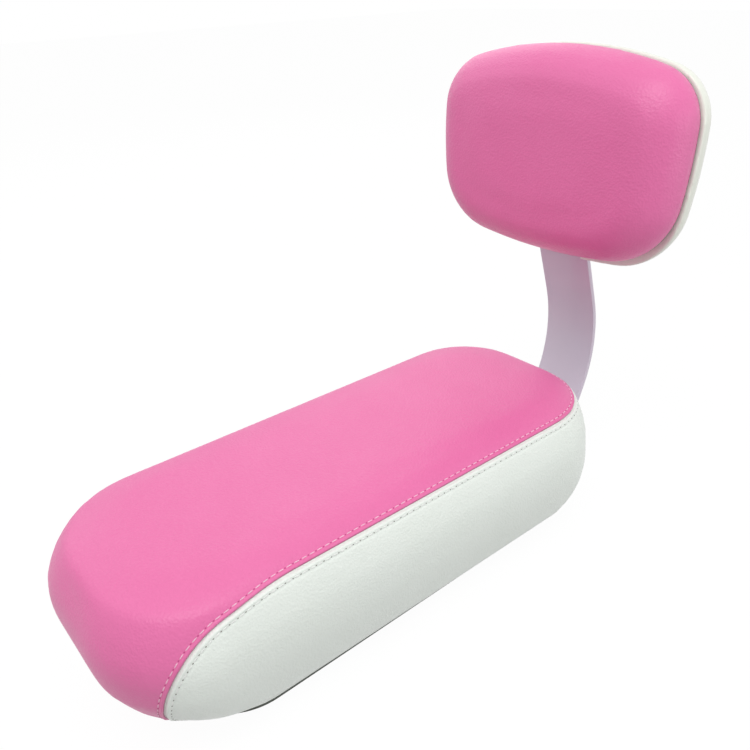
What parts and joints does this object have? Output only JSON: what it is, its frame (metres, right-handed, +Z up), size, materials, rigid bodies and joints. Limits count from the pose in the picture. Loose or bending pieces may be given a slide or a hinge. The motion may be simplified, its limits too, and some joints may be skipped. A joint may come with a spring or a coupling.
{
  "type": "child bike seat",
  "caption": "Child seat for a bicycle's rear rack: a long padded seat with a pink top and white sides, and a padded back rest on a bowed steel bracket.",
  "frame": {"origin": "middle of the four rack bolt holes, on the underside of the base plate", "axes": "+Z up, -Y towards the nose of the seat, +Y towards the back rest, +X to the seated child's left"},
  "size_m": [0.1804, 0.3833, 0.3029],
  "materials": {
    "pink_leathercloth": "fine-grained leathercloth, satin",
    "white_leathercloth": "fine-grained leathercloth, satin",
    "painted_strap": "smooth gloss paint",
    "white_shell": "fine moulded texture, half gloss",
    "black_plate": "matt moulded plastic",
    "plywood": "bare birch plywood",
    "foam": "open-cell foam",
    "zinc_steel": "bright zinc plate"
  },
  "bodies": {
    "root": {"seat_board": "plywood", "seat_foam": "foam", "seat_top_panel": "pink_leathercloth", "seat_side_panel": "white_leathercloth", "seat_staples": "zinc_steel", "base_plate": "black_plate", "base_plate_screws": "zinc_steel", "rack_tee_nuts": "zinc_steel", "back_bracket": "painted_strap", "bracket_bolts": "zinc_steel", "bracket_washers": "zinc_steel", "bracket_tee_nuts": "zinc_steel", "back_board": "plywood", "back_foam": "foam", "back_cover": "pink_leathercloth", "back_staples": "zinc_steel", "back_shell": "white_shell", "shell_screws": "zinc_steel", "back_bolts": "zinc_steel", "back_washers": "zinc_steel", "back_tee_nuts": "zinc_steel"}
  },
  "joints": []
}
